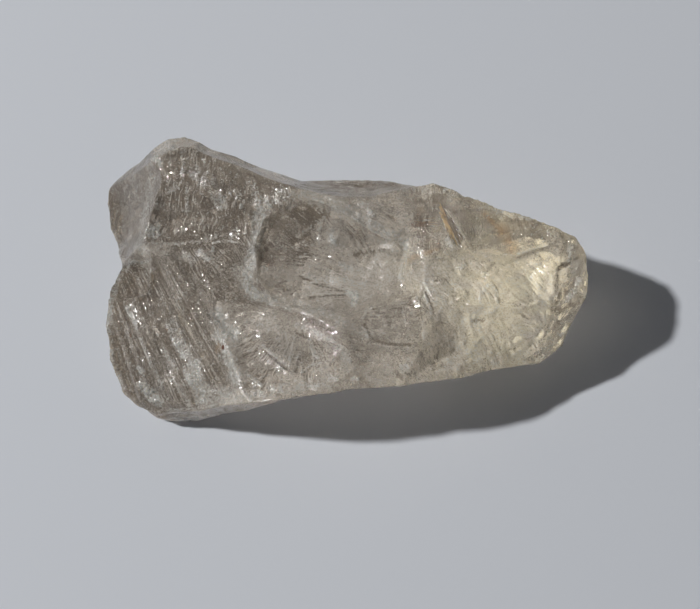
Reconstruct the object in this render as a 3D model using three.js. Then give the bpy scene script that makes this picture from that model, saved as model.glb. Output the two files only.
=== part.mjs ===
// A cobbed lump of rutilated smoky quartz, 80 mm long: one solid piece of
// clear crystal, broken on every side.  Millimetres, +Z up, the origin under
// the middle of the stone on the surface it rests on, the long way along X.
//
// The stone is described by the ridges where its fracture faces meet.  The
// ridge points are named below with their places; each face is the ring of
// ridge points around it and the depth to which the break dishes it.

import * as THREE from 'three';

const RIDGE_STEPS = 3;      // short edges along each ridge between two points
const DISH_RINGS = 4;       // rings of each face from its rim to its middle
const UNEVEN = 0.16;        // how far breaks wander from a true surface
const WAVE = 6.5;           // length of that wandering
const REST_FADE = 3.0;      // it dies out this close to the rest face
const GRAIN_COLOUR = 0xa89c8c;

// ---------------------------------------------------------------- ridges ---

// The widest edge of the stone, where the upper faces meet the undercut
// sides.  From the notch under the lobe it runs down the west end, along the
// front, round the blunt east end and back along the far side.
const edge = {
  notch: [-36.7, 3.4, 8.5], westShoulder: [-38.6, -3.2, 10], west: [-38.7, -7.5, 9.5],
  southWest: [-38.2, -12.9, 8], swCorner: [-36.5, -18.3, 6], swFoot: [-33.6, -20.6, 6],
  footWest: [-30.2, -21.9, 7],
  frontA: [-24.4, -22, 10], frontB: [-19.8, -22.3, 15], frontC: [-14, -22.2, 19],
  frontD: [-8, -22, 20.5], frontE: [1.7, -20.6, 20.5], frontF: [9.6, -19.8, 20],
  frontG: [17.5, -18.5, 18], frontH: [25.8, -16.1, 14.5], seCorner: [32.8, -14.3, 11],
  endA: [36.2, -11.7, 13], endB: [38.2, -8.1, 16], endC: [39.5, -5, 18.5],
  endD: [40.1, -1.7, 19.5], endE: [39.6, 1.6, 20], neCorner: [38.1, 4.7, 20.3],
  backA: [35, 6.4, 20.5], backB: [29, 8.5, 20.5], backC: [23.5, 10.5, 20.5],
  backD: [18.2, 12.9, 20.3], backE: [14.9, 14.2, 19.8], backF: [12.7, 14.3, 17.5],
  backG: [6.7, 16.1, 14.5], backH: [-1.6, 16.3, 14], backI: [-6.3, 15.7, 15],
  backJ: [-12.2, 17.4, 16], backK: [-17.2, 19.6, 17], backL: [-21, 20.3, 18],
  peakE: [-22.9, 21.3, 19], peak: [-25.6, 22.1, 19.3], peakW: [-28.5, 22.3, 18],
  nwA: [-31.2, 21.4, 15], nwB: [-33.9, 21.1, 10], lobeN: [-38.4, 19.8, 4.5],
  lobeNW: [-39.9, 18, 4], lobeW: [-40.2, 15, 4], lobeSW: [-39.3, 10.9, 4],
  lobeS: [-38, 7.2, 4.5],
};

// A thin lower step shows under the front edge at its west end: its foot is
// where the stone's south-west corner stands on the table.
const toe = {
  toeWest: [-30, -21.8, 0], toeMid: [-25.4, -22.2, 0],
  toeEast: [-20.6, -21.8, 4], toeFar: [-14.2, -21.8, 11],
};

// The ridge between the low clear lobe and the main mass.
const lobeRidge = {
  lr1: [-30, 18.3, 18.3], lr2: [-29.1, 14.9, 18.3], lr3: [-30.2, 11.3, 17],
  lr4: [-31.7, 7.7, 16], lr5: [-32.2, 5, 15], lr6: [-34.5, 3.8, 12],
  lobeCrest: [-35.6, 18.2, 9],
};

// The summit ridge along the far side, from the peak to the big hollow.
const summit = {
  su1: [-27.3, 19.2, 20.7], su2: [-24.3, 19.4, 21], su3: [-21, 18.2, 20.8],
  su4: [-15.9, 16.2, 20.5], su5: [-11.4, 14.4, 20.2], su6: [-7.5, 13.1, 20],
};

// The rim of the big conchoidal hollow: its far side runs slantwise as the
// frosted ridge, the rest is counted round through the west and the front.
const hollowRim = {
  hf1: [-3.5, 11.1, 20], hf2: [0.8, 8.7, 20], hf3: [4.8, 6.1, 19.5],
  hf4: [8.5, 4.1, 18.7], hf5: [10.4, 2.7, 18.2],
  he1: [10.4, -0.9, 18.2], he2: [11.7, -3.8, 18.6],
  hs1: [7.8, -5, 18.4], hs2: [1.9, -7.4, 18.8], hs3: [-1.9, -6.8, 18.4],
  hs4: [-6.6, -6.4, 18.3], hs5: [-10.8, -5.2, 17.6],
  hw1: [-13.4, -0.4, 17], hw2: [-13.9, 3.4, 17], hw3: [-12.7, 8.7, 18.3],
  hw4: [-7.8, 10.5, 19.3],
};
const HOLLOW_FLOOR = [-5.8, 4, 14.3];

// The ridge above the scalloped far slope, and the west rim of the window.
const farSlope = {
  fs1: [0.8, 11.5, 19.6], fs2: [5.6, 11.8, 19.4], fs3: [9.4, 12.9, 19.2],
  wr1: [11, 8.5, 19.2], wr2: [11.7, 4.6, 18.5], wr3: [14.5, 1.8, 18.8],
};

// The ridge between the window, through which the needles show, and the
// broad east face; then the bevels of the blunt end.
const eastRidge = {
  er1: [18.5, 3.1, 19.6], er2: [20.9, 1.9, 20.2], er3: [25.7, 1.3, 20.6],
  er4: [29.2, 1.7, 20.6], er5: [33, 2.8, 20.6], er6: [35.6, 4, 20.6],
  ee1: [34.6, 0.4, 20.4], ee2: [33.9, -6.9, 18.8], ee3: [32.2, -11.9, 14.8],
  em1: [12.9, -5.5, 19], em2: [22.4, -6.5, 19.8],
};

// The brown western mass and the crease across it.
const westMass = {
  wm1: [-21.9, 12.9, 18.8], wm2: [-14.6, 10.4, 18.6],
  cr2: [-26.8, 4.7, 15.8], cr3: [-22.5, 4.5, 16.2], cr4: [-18.5, 5.7, 16.6],
  cr5: [-14.6, 5.8, 17],
};

// The stepped block at the south-west, with a pocket broken into its corner.
const block = {
  bk1: [-30.9, 3.4, 15.8], bk2: [-27.8, 2.8, 16.6], bk3: [-24.1, -2.5, 17],
  bk4: [-20.4, -8.4, 17.3], bk5: [-17.7, -13.7, 17.5], bk6: [-15.8, -19.3, 18.5],
  pk2: [-30.5, -2.9, 14], pk3: [-36, -3.9, 10.8],
  st1: [-31, -8.9, 12.5], st2: [-31, -17.4, 9.5], st3: [-23.4, -18.3, 13.5],
  mi1: [-20.2, -5.2, 17.5], mi2: [-15.9, -5.7, 17.9],
};
const POCKET_FLOOR = [-33.6, 0.1, 8.8];

// The low ridges of the front.
const front = {
  mi5: [-3.1, -8.6, 19.5], mi6: [0, -10.7, 20], mi7: [1.7, -13.3, 20.2],
  fr1: [-12.4, -12.9, 18.6], fr2: [-4.7, -17.9, 20],
  fr3: [7.3, -10.1, 19], fr4: [14.4, -8.5, 19.2], fr5: [12.7, -13.9, 19.8],
};

// The sides are undercut in two tiers of breaks that meet about half way up.
const sides = {
  sd1: [-35.3, 2.4, 3.6], sd2: [-36.6, -8, 3.8],
  sd4: [-12.2, -18.7, 9], sd5: [-2.6, -18.2, 11.5], sd6: [6.6, -16, 8.5],
  sd7: [15.6, -16.1, 11], sd8: [23.6, -13.4, 6.5], sd9: [31, -11.4, 6],
  sd10: [37, -4, 8.5], sd11: [37.6, 2.2, 12], sd12: [31.4, 6.7, 9],
  sd13: [20.6, 10, 11.5], sd14: [12.6, 11.7, 7], sd15: [1.2, 14.4, 6],
  sd16: [-8.8, 13.6, 8], sd17: [-16.2, 17.8, 7], sd18: [-24.4, 19.9, 10],
  sd19: [-31, 18.2, 4.5],
};

// The rest face: the stone stands on one flat break.
const rest = {
  re1: [-30.6, 13.5, 0], re2: [-33.2, 6.5, 0], re3: [-31.2, -4, 0], re4: [-32.2, -15, 0],
  re5: [-13.2, -15.8, 0], re6: [2.4, -11.8, 0], re7: [14.4, -11.4, 0],
  re8: [24.4, -7, 0], re9: [29.4, -0.5, 0], re10: [22.4, 4.8, 0], re11: [11.4, 6.4, 0],
  re12: [-3.8, 8.8, 0], re13: [-14.8, 13.2, 0], re14: [-24.2, 15, 0],
};

const points = {
  ...edge, ...toe, ...lobeRidge, ...summit, ...hollowRim, ...farSlope,
  ...eastRidge, ...westMass, ...block, ...front, ...sides, ...rest,
};

// ----------------------------------------------------------------- faces ---

// Each break: its rim, counter-clockwise seen from outside, the depth of its
// dish, and for a lopsided one the place of its deepest point.
const breaks = [];
const face = (rim, dish, deepest = null) =>
  breaks.push({ rim: rim.split(' '), dish, deepest });

// the low lobe and the breaks behind the peak
face('lr1 nwA nwB lobeN lobeNW lobeCrest', 0.3);
face('lr1 lobeCrest lobeNW lobeW lobeSW lobeS notch lr6 lr5 lr4 lr3 lr2', 1.3);
face('lr1 su1 peakW nwA', 0.2);
face('su1 su2 peakE peak peakW', 0.2);
face('su2 su3 backL peakE', 0.15);
face('su3 su4 backJ backK backL', 0.25);
face('su4 su5 su6 backI backJ', 0.1);
face('su6 fs1 fs2 fs3 backF backG backH backI', 0.8);

// the brown western mass, north of its crease
face('su2 su1 lr1 lr2 wm1 su3', 0.7);
face('lr2 lr3 lr4 lr5 cr2 cr3 wm1', 0.9);
face('wm1 cr3 cr4 cr5 wm2', 0.5);
face('su3 wm1 wm2 hw4 su6 su5 su4', 0.6);
face('wm2 cr5 hw2 hw3 hw4', 0.3);

// the big hollow and the frosted ridge beyond it
face('hw4 hw3 hw2 hw1 hs5 hs4 hs3 hs2 hs1 he2 he1 hf5 hf4 hf3 hf2 hf1', 0, HOLLOW_FLOOR);
face('su6 hw4 hf1', 0.1);
face('su6 hf1 hf2 fs1', 0.2);
face('fs1 hf2 hf3 fs2', 0.3);
face('fs2 hf3 hf4 wr1 fs3', 0.3);
face('hf4 hf5 wr2 wr1', 0.2);

// the window and the blunt east end
face('fs3 wr1 wr2 wr3 er1 er2 backD backE backF', 1.0);
face('backD er2 er3 er4 er5 er6 backA backB backC', 1.5);
face('backA er6 ee1 endE neCorner', 0.3);
face('ee1 ee2 endC endD endE', 0.4);
face('ee2 ee3 endA endB endC', 0.3);
face('ee3 seCorner endA', 0.15);
face('er1 wr3 em1 em2 ee2 ee1 er6 er5 er4 er3 er2', 0.8);
face('hf5 he1 he2 em1 wr3 wr2', 0.2);

// the band under the crease, the pocket and the stepped block
face('lr5 bk1 bk2 cr2', 0.2);
face('cr2 bk2 bk3 mi1 cr3', 0.6);
face('cr3 mi1 mi2 hs5 hw1 hw2 cr5 cr4', 0.7);
face('lr6 notch westShoulder pk3 pk2 bk1 lr5', 0, POCKET_FLOOR);
face('bk1 pk2 pk3 westShoulder west st1 bk3 bk2', 0.4);
face('west southWest swCorner st2 st1', 0.5);
face('st2 swCorner swFoot footWest frontA st3', 0.3);
face('st1 st2 st3 bk5 bk4 bk3', 0.6);
face('st3 frontA frontB frontC bk6 bk5', 0.4);

// the front
face('mi1 bk3 bk4 bk5 fr1 hs5 mi2', 0.7);
face('hs5 fr1 fr2 mi7 mi6 mi5 hs4', 0.9);
face('fr1 bk5 bk6 frontC frontD fr2', 0.4);
face('fr2 frontD frontE mi7', 0.3);
face('hs4 mi5 hs3', 0.1);
face('hs3 mi5 mi6 hs2', 0.15);
face('hs2 mi6 mi7 fr3 hs1', 0.25);
face('hs1 fr3 fr4 em1 he2', 0.25);
face('mi7 frontE frontF fr5 fr3', 0.5);
face('fr3 fr5 fr4', 0.15);
face('em1 fr4 fr5 frontF frontG frontH seCorner ee3 ee2 em2', 0.9);

// the undercut sides, from the west end round by the front
face('re1 re2 lobeSW lobeW lobeNW', 0.3);
face('re2 sd1 notch lobeS lobeSW', 0.2);
face('re2 re3 sd2 sd1', 0.3);
face('sd1 sd2 west westShoulder notch', 0.4);
face('re3 re4 sd2', 0.2);
face('sd2 re4 southWest west', 0.2);
face('re4 toeWest footWest swFoot swCorner southWest', 0.3);
face('toeWest toeMid toeEast toeFar frontD frontC frontB frontA footWest', 0);
face('toeMid re5 sd4 toeFar toeEast', 0.5);
face('toeFar sd4 sd5 frontD', 0.3);
face('re5 re6 sd6 sd5 sd4', 0.8);
face('sd5 sd6 sd7 frontF frontE frontD', 0.8);
face('re6 re7 sd8 sd7 sd6', 0.7);
face('sd7 sd8 sd9 seCorner frontH frontG frontF', 0.7);
face('re7 re8 sd9 sd8', 0.4);
face('re8 re9 sd10 sd9', 0.6);
face('sd9 sd10 endC endB endA seCorner', 0.6);
face('sd10 sd11 endE endD endC', 0.4);
face('re9 re10 sd12 sd11 sd10', 0.7);
face('sd11 sd12 backA neCorner endE', 0.4);
face('re10 re11 sd14 sd13 sd12', 0.7);
face('sd12 sd13 backD backC backB backA', 0.8);
face('sd13 sd14 backE backD', 0.3);
face('re11 re12 sd15 sd14', 0.6);
face('sd14 sd15 backH backG backF backE', 0.6);
face('re12 re13 sd17 sd16 sd15', 0.5);
face('sd15 sd16 backJ backI backH', 0.4);
face('sd16 sd17 backK backJ', 0.3);
face('re13 re14 sd18 sd17', 0.5);
face('sd17 sd18 peak peakE backL backK', 0.4);
face('re14 sd19 sd18', 0.2);
face('re14 re1 lobeNW lobeN sd19', 0.3);
face('sd19 lobeN nwB nwA peakW peak sd18', 0.5);

// the rest face
face('re1 re14 re13 re12 re11 re10 re9 re8 re7 re6 re5 toeMid toeWest re4 re3 re2', 0);

// --------------------------------------------------------------- surface ---

// Breaks wander: the same gentle wave moves every point of the surface, so
// neighbouring faces stay joined.
function wander(p) {
  const k = (2 * Math.PI) / WAVE;
  const fade = Math.min(1, p.z / REST_FADE) * UNEVEN;
  return new THREE.Vector3(
    p.x + fade * Math.sin(k * p.y + 0.8 * Math.sin(0.6 * k * p.z)),
    p.y + fade * Math.sin(k * p.z * 0.9 + 1.1 + Math.sin(0.7 * k * p.x)),
    p.z + fade * Math.sin(k * p.x * 0.8 + 2.3 + Math.sin(0.9 * k * p.y)),
  );
}

// Points along one ridge, worked out from its end that sorts first, so that
// both faces beside it get exactly the same points.
function along(a, b) {
  const [from, to] = a < b ? [a, b] : [b, a];
  const p = new THREE.Vector3(...points[from]);
  const q = new THREE.Vector3(...points[to]);
  const list = [];
  for (let i = 0; i <= RIDGE_STEPS; i++) list.push(p.clone().lerp(q, i / RIDGE_STEPS));
  return a < b ? list : list.reverse();
}

// One break: rings of points from the rim to the middle.  The depth follows
// a parabola, as a shallow conchoidal shell does.
function dishFace({ rim, dish, deepest }, triangles) {
  const ring = [];
  rim.forEach((name, i) => ring.push(...along(name, rim[(i + 1) % rim.length]).slice(0, -1)));

  const middle = new THREE.Vector3();
  const normal = new THREE.Vector3();
  ring.forEach((p, i) => {
    const q = ring[(i + 1) % ring.length];
    middle.addScaledVector(p, 1 / ring.length);
    normal.add(new THREE.Vector3().crossVectors(p, q));
  });
  normal.normalize();

  let drop = normal.clone().multiplyScalar(-dish);
  if (deepest) {
    const floor = new THREE.Vector3(...deepest);
    drop = new THREE.Vector3(0, 0, floor.z - middle.z);
    middle.set(floor.x, floor.y, middle.z);
  }

  // A rim point's place in the face's plane shrinks evenly towards the middle,
  // its height out of that plane dies away faster, so the dish has no pleats.
  const rings = [];
  for (let r = 0; r < DISH_RINGS; r++) {
    const t = 1 - r / DISH_RINGS;
    rings.push(ring.map((p) => {
      const out = p.clone().sub(middle);
      const height = out.dot(normal);
      return wander(middle.clone()
        .addScaledVector(out.addScaledVector(normal, -height), t)
        .addScaledVector(normal, height * t * t)
        .addScaledVector(drop, 1 - t * t));
    }));
  }
  const centre = wander(middle.clone().add(drop));

  const n = ring.length;
  for (let i = 0; i < n; i++) {
    const j = (i + 1) % n;
    for (let r = 0; r < DISH_RINGS - 1; r++) {
      const [a, b, c, d] = [rings[r][i], rings[r][j], rings[r + 1][j], rings[r + 1][i]];
      triangles.push(a, b, c, a, c, d);
    }
    triangles.push(rings[DISH_RINGS - 1][i], rings[DISH_RINGS - 1][j], centre);
  }
}

const triangles = [];
breaks.forEach((b) => dishFace(b, triangles));

const geometry = new THREE.BufferGeometry().setFromPoints(triangles);
geometry.computeVertexNormals();

const stone = new THREE.Mesh(
  geometry,
  new THREE.MeshStandardMaterial({ color: GRAIN_COLOUR, roughness: 0.15, metalness: 0 }),
);
stone.name = 'quartz_stone';

const group = new THREE.Group();
group.add(stone);

export default group;
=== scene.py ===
import math

import bmesh
import bpy
import numpy as np
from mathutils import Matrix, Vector
from mathutils.bvhtree import BVHTree


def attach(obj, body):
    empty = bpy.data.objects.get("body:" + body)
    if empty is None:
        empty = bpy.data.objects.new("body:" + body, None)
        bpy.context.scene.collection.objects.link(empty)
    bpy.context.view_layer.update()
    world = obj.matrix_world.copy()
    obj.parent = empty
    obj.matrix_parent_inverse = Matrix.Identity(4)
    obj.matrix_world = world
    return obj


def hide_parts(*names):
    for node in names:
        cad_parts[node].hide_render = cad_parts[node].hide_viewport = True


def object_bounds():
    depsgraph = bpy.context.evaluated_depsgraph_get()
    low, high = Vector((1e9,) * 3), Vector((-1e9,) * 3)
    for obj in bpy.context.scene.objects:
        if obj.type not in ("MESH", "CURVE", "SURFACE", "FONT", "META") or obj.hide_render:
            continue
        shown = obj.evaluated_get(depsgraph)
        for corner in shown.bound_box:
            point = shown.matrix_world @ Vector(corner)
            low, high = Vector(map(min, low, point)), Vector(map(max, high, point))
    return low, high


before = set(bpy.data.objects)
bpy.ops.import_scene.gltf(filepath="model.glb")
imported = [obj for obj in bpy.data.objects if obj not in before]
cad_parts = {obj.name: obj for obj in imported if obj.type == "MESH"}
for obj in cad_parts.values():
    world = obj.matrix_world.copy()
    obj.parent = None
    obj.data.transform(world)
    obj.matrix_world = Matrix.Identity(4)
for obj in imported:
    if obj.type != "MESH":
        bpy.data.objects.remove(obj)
cad_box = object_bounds()


# ------------------------------------------------------------------ studio
# A sheet of pale paper under one lamp, high on the left and slightly behind
# the stone, with a dim even room around it.  Its distances are in metres.

scene = bpy.context.scene
scene.view_settings.view_transform = "Standard"

MM = 0.001
PAPER_HALF = 1.5
PAPER_LEVEL = -0.00005  # just under the stone's resting ridges
PAPER_COLOUR = (0.70, 0.725, 0.77, 1)
PAPER_ROUGHNESS = 0.9
LAMP_TRAVEL = Vector((0.885, -0.149, -1.0)).normalized()
LAMP_AIM = Vector((0, 0, 0.012))
LAMP_DISTANCE = 1.6
LAMP_SIZE = 0.08
LAMP_POWER = 19.2
ROOM_COLOUR = (0.93, 0.95, 1.0, 1)
ROOM_STRENGTH = 0.09


def placed(name, data):
    # A new object, in the scene.
    thing = bpy.data.objects.new(name, data)
    scene.collection.objects.link(thing)
    return thing


paper_mesh = bpy.data.meshes.new("paper")
paper_mesh.from_pydata(
    [(x * PAPER_HALF, y * PAPER_HALF, PAPER_LEVEL) for x, y in ((-1, -1), (1, -1), (1, 1), (-1, 1))],
    [], [(0, 1, 2, 3)])
paper_look = bpy.data.materials.new("paper")
paper_look.use_nodes = True
sheet = paper_look.node_tree.nodes["Principled BSDF"]
sheet.inputs["Base Color"].default_value = PAPER_COLOUR
sheet.inputs["Roughness"].default_value = PAPER_ROUGHNESS
paper_mesh.materials.append(paper_look)
placed("paper", paper_mesh)

# So small a lamp is hardly ever found by light that comes through clear stone.
# For that light alone the room shines: brightly on the side where the lamp
# hangs, and faintly elsewhere.
THROUGH_STRENGTH = 2.5
THROUGH_FLOOR = 0.28
THROUGH_EDGE = (math.cos(math.radians(55)), math.cos(math.radians(20)))


def through_stone(tree, value, edge, low, high, always):
    # A strength that climbs from low to high as the value crosses the edge, for
    # light that has come through the stone.  Other light finds only always.
    climb = tree.nodes.new("ShaderNodeMapRange")
    climb.interpolation_type = "SMOOTHSTEP"
    for name, number in zip(("From Min", "From Max", "To Min", "To Max"), (*edge, low, high)):
        climb.inputs[name].default_value = number
    tree.links.new(value, climb.inputs["Value"])
    light = tree.nodes.new("ShaderNodeLightPath")
    strength = tree.nodes.new("ShaderNodeMath")
    strength.operation = "MULTIPLY_ADD"
    tree.links.new(climb.outputs["Result"], strength.inputs[0])
    tree.links.new(light.outputs["Is Transmission Ray"], strength.inputs[1])
    strength.inputs[2].default_value = always
    return strength.outputs["Value"]


room = bpy.data.worlds.new("room")
room.use_nodes = True
wall = room.node_tree
background = wall.nodes["Background"]
background.inputs["Color"].default_value = ROOM_COLOUR
direction = wall.nodes.new("ShaderNodeTexCoord")
towards = wall.nodes.new("ShaderNodeVectorMath")
towards.operation = "DOT_PRODUCT"
towards.inputs[1].default_value = -LAMP_TRAVEL
wall.links.new(direction.outputs["Generated"], towards.inputs[0])
glow = through_stone(wall, towards.outputs["Value"], THROUGH_EDGE,
                     THROUGH_FLOOR, THROUGH_STRENGTH, ROOM_STRENGTH)
wall.links.new(glow, background.inputs["Strength"])
scene.world = room

# A painted pool of light: the paper under the stone's east end glows, standing in
# for light the stone would gather there, and that glow is only ever seen through the stone.
PAINTED_POOL_STRENGTH = 1.3
PAINTED_POOL_EDGE = (0.010, 0.046)  # from none to all of it, this far east
PAINTED_POOL_COLOUR = (1.0, 0.95, 0.82, 1)

painted_pool_tree = paper_look.node_tree
lying = painted_pool_tree.nodes.new("ShaderNodeTexCoord")
east_of = painted_pool_tree.nodes.new("ShaderNodeSeparateXYZ")
painted_pool_tree.links.new(lying.outputs["Object"], east_of.inputs[0])
painted_pool_glow = through_stone(painted_pool_tree, east_of.outputs["X"], PAINTED_POOL_EDGE, 0, PAINTED_POOL_STRENGTH, 0)
sheet.inputs["Emission Color"].default_value = PAINTED_POOL_COLOUR
painted_pool_tree.links.new(painted_pool_glow, sheet.inputs["Emission Strength"])

lamp_data = bpy.data.lights.new("lamp", "AREA")
lamp_data.shape = "DISK"
lamp_data.size = LAMP_SIZE
lamp_data.energy = LAMP_POWER
lamp = placed("lamp", lamp_data)
lamp.location = LAMP_AIM - LAMP_TRAVEL * LAMP_DISTANCE
lamp.rotation_euler = LAMP_TRAVEL.to_track_quat("-Z", "Y").to_euler()

VIEW_TILT = math.radians(14)
VIEW_DISTANCE = 0.273
VIEW_TARGET = Vector((1.65, -4.05, 10.0)) * MM
VIEW_LENS = 85
VIEW_NEAREST = 0.01
camera_data = bpy.data.cameras.new("camera")
camera_data.lens = VIEW_LENS
camera_data.clip_start = VIEW_NEAREST
camera = placed("camera", camera_data)
camera.rotation_euler = (VIEW_TILT, 0, 0)
camera.location = VIEW_TARGET + VIEW_DISTANCE * Vector(
    (0, -math.sin(VIEW_TILT), math.cos(VIEW_TILT)))
scene.camera = camera


# ------------------------------------------------------- stone: its breaks
# One lump of clear smoky quartz, broken on every side.  Each break runs out
# from where the stone was struck: fine hackles point away from that place
# and ripples ring it.  All places are in plan, in millimetres.

# Outline, struck place and its distance, hackles (width, length, height),
# ripples (pitch, height), share of the scallops, and smokiness.  Wobble is how
# far the hackles stray from straight, and it is STRAY where it isn't given.
STRAY = 0.35
BREAKS = {
    "lobe": dict(
        outline=[(-30, 18.3), (-31.2, 21.4), (-38.4, 21), (-42, 18), (-42, 10.9), (-38, 5),
                 (-34.5, 3.8), (-32.2, 5), (-31.7, 7.7), (-30.2, 11.3), (-29.1, 14.9)],
        struck=(-37, 75), reach=62, hackles=(1.3, 14, 0.07), ripples=(6.0, 0.03),
        scallops=0.12, smoke_and_shade=0.74),
    "brown": dict(
        outline=[(-27.3, 20), (-30, 18.3), (-29.1, 14.9), (-30.2, 11.3), (-31.7, 7.7),
                 (-32.2, 5), (-26.8, 4.7), (-22.5, 4.5), (-18.5, 5.7), (-13.9, 5.8),
                 (-12.7, 8.7), (-7.8, 10.5), (-7.5, 13.1), (-15.9, 16.2), (-21, 18.2),
                 (-24.3, 19.4)],
        struck=(-17, 62), reach=50, hackles=(0.6, 3.4, 0.16), ripples=(2.6, 0.04),
        scallops=0.4, smoke_and_shade=0.70),
    "saddle": dict(
        outline=[(-26.8, 4.7), (-22.5, 4.5), (-18.5, 5.7), (-14.6, 5.8), (-13.9, 3.4),
                 (-13.4, -0.4), (-10.8, -5.2), (-15.9, -5.7), (-20.2, -5.2), (-24.1, -2.5),
                 (-27.8, 2.8)],
        struck=(-50, 45), reach=52, hackles=(0.7, 4.0, 0.11), ripples=(2.0, 0.03),
        scallops=0.6, smoke_and_shade=0.46),
    "block": dict(
        outline=[(-38, 3.4), (-39.5, -3.2), (-40, -7.5), (-39, -12.9), (-37.5, -18.3),
                 (-34, -21.5), (-24.4, -22.6), (-19, -22.6), (-15.8, -19.3), (-17.7, -13.7),
                 (-20.4, -8.4), (-24.1, -2.5), (-27.8, 2.8), (-30.9, 3.4)],
        struck=(-61, 58), reach=72, wobble=0.1, hackles=(0.45, 18.0, 0.04), ripples=(3.0, 0.0),
        scallops=0.06, smoke_and_shade=0.62),
    "hollow": dict(
        outline=[(-3.5, 11.1), (0.8, 8.7), (4.8, 6.1), (8.5, 4.1), (10.4, 2.7), (10.4, -0.9),
                 (11.7, -3.8), (7.8, -5), (1.9, -7.4), (-1.9, -6.8), (-6.6, -6.4),
                 (-10.8, -5.2), (-13.4, -0.4), (-13.9, 3.4), (-12.7, 8.7), (-7.8, 10.5)],
        struck=(8.5, -2.2), reach=13, wobble=0.9, hackles=(1.3, 5.0, 0.34),
        ripples=(1.5, 0.05), scallops=0.45, smoke_and_shade=-0.05),
    "frosted ridge": dict(
        outline=[(-3.5, 11.1), (0.8, 8.7), (4.8, 6.1), (8.5, 4.1), (10.4, 2.7), (11.7, 4.6),
                 (11, 8.5), (5.6, 11.8), (0.8, 11.5), (-7.5, 13.1)],
        struck=(-60, 40), reach=70, hackles=(0.6, 4.0, 0.24), ripples=(2.0, 0.02),
        scallops=0.3, smoke_and_shade=0.05),
    "far slope": dict(
        outline=[(-7.5, 13.1), (0.8, 11.5), (5.6, 11.8), (9.4, 12.9), (12.7, 14.3),
                 (6.7, 17), (-1.6, 17), (-6.3, 16.5)],
        struck=(-70, 18), reach=74, hackles=(0.9, 6.0, 0.10), ripples=(4.0, 0.04),
        scallops=0.5, smoke_and_shade=0.45),
    "window": dict(
        outline=[(18.2, 12.9), (23.5, 10.5), (29, 8.5), (35, 6.4), (35.6, 4), (33, 2.8),
                 (29.2, 1.7), (25.7, 1.3), (20.9, 1.9), (18.5, 3.1), (14.5, 1.8), (11.7, 4.6),
                 (11, 8.5), (9.4, 12.9), (14.9, 14.2)],
        struck=(15, 50), reach=44, hackles=(0.9, 4.0, 0.08), ripples=(2.2, 0.05),
        scallops=0.28, smoke_and_shade=0.22),
    "east": dict(
        outline=[(14.5, 1.8), (18.5, 3.1), (25.7, 1.3), (33, 2.8), (35.6, 4), (34.6, 0.4),
                 (33.9, -6.9), (32.2, -11.9), (33, -15), (25, -17.5), (17.5, -19.4),
                 (9.6, -20.5), (12.7, -13.9), (12.9, -5.5)],
        struck=(2, 24), reach=34, wobble=1.3, hackles=(0.9, 3.0, 0.24), ripples=(1.7, 0.05),
        scallops=1.0, smoke_and_shade=-0.08),
    "blunt end": dict(
        outline=[(35.6, 4), (34.6, 0.4), (33.9, -6.9), (32.2, -11.9), (33, -15),
                 (37, -12.5), (39.5, -8.5), (41, -4), (41, 2), (39, 6), (35, 6.8)],
        struck=(28, -22), reach=20, hackles=(1.3, 3.0, 0.52), ripples=(1.8, 0.05),
        scallops=1.0, smoke_and_shade=-0.08),
    "front": dict(
        outline=[(-20.2, -5.2), (-20.4, -8.4), (-17.7, -13.7), (-15.8, -19.3), (-16, -23),
                 (-8, -23), (1.7, -21.6), (9.6, -20.8), (12.7, -13.9), (12.9, -5.5),
                 (11.7, -3.8), (7.8, -5), (1.9, -7.4), (-1.9, -6.8), (-6.6, -6.4),
                 (-10.8, -5.2)],
        struck=(-6.6, -8.6), reach=9, wobble=0.8, hackles=(1.0, 5.0, 0.26), ripples=(2.2, 0.04),
        scallops=0.6, smoke_and_shade=0.15),
}
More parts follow.
